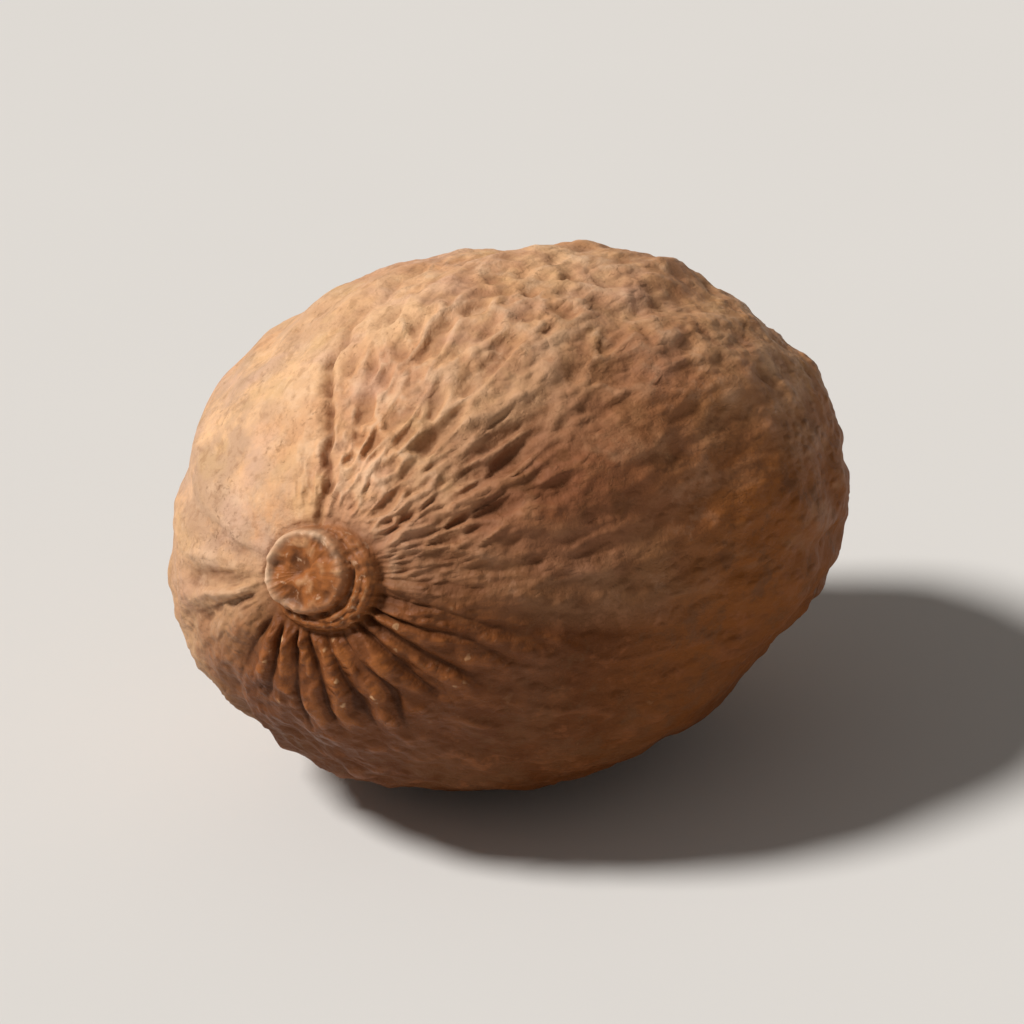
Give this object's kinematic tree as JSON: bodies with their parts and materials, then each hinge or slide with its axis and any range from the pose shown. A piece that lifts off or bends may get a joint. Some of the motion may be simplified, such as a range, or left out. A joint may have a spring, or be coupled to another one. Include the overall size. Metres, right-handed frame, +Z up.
{
  "type": "whole nutmeg",
  "caption": "Whole dried nutmeg lying on its side: a wrinkled, ribbed egg-shaped seed with a raised round hilum scar in a collar, a faint raphe groove and a puckered far end.",
  "frame": {"origin": "on the surface that the seed lies on, under the middle of its box", "axes": "+Z up; +X along the seed's long axis, with the hilum end towards -X and turned a little to -Y and up"},
  "size_m": [0.0262, 0.0202, 0.0194],
  "materials": {
    "skin": "dry, wrinkled tan and brown seed coat, matte with a faint waxy sheen on the ridges"
  },
  "bodies": {
    "root": {"nutmeg": "skin"}
  },
  "joints": []
}
